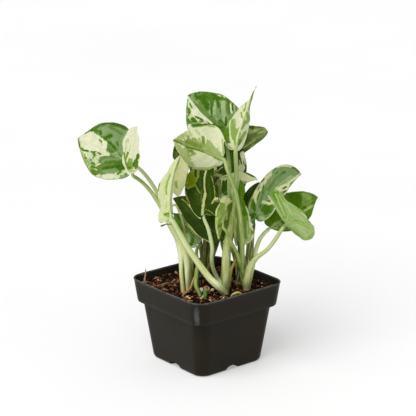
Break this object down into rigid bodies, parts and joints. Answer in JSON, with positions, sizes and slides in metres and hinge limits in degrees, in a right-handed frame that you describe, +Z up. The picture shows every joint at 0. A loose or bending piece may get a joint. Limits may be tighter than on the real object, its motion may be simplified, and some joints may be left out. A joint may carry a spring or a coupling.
{
  "type": "potted plant",
  "caption": "Small variegated pothos with heart-shaped green and cream leaves on slender stems, growing from soil in a square tapered plastic nursery pot",
  "frame": {"origin": "Middle of the pot's flat base, on the surface that it stands on", "axes": "+Z up along the plant's height, the pot's sides along X and Y"},
  "size_m": [0.2033, 0.2019, 0.2599],
  "materials": {
    "pot": "warm black satin plastic, lighter along the worn rim",
    "soil": "dark brown potting mix with bark chips and perlite",
    "leaf": "waxy leaf, deep green with cream patches and speckles",
    "stem": "smooth pale yellow-green stem",
    "dry_root": "dry brown aerial root"
  },
  "bodies": {
    "root": {"pot": "pot", "soil": "soil", "leaf_far_left": "leaf", "leaf_folded_left": "leaf", "leaf_top": "leaf", "leaf_front_pale": "leaf", "leaf_spear": "leaf", "leaf_back_upper": "leaf", "leaf_back_middle": "leaf", "leaf_cream_behind": "leaf", "leaf_centre": "leaf", "leaf_lower_left": "leaf", "leaf_low_small": "leaf", "leaf_front_small": "leaf", "leaf_lower_right": "leaf", "leaf_right_speckled": "leaf", "leaf_right_green": "leaf", "leaf_front_right": "leaf", "leaf_rolled": "leaf", "leaf_cream_left": "leaf", "leaf_back_left": "leaf", "leaf_back_centre": "leaf", "leaf_behind_right": "leaf", "stems_left": "stem", "stems_front": "stem", "stems_right": "stem", "stem_low": "stem", "stems_inner": "stem", "stems_middle": "stem", "stems_back": "stem", "cut_stub": "stem", "dry_root": "dry_root"}
  },
  "joints": []
}
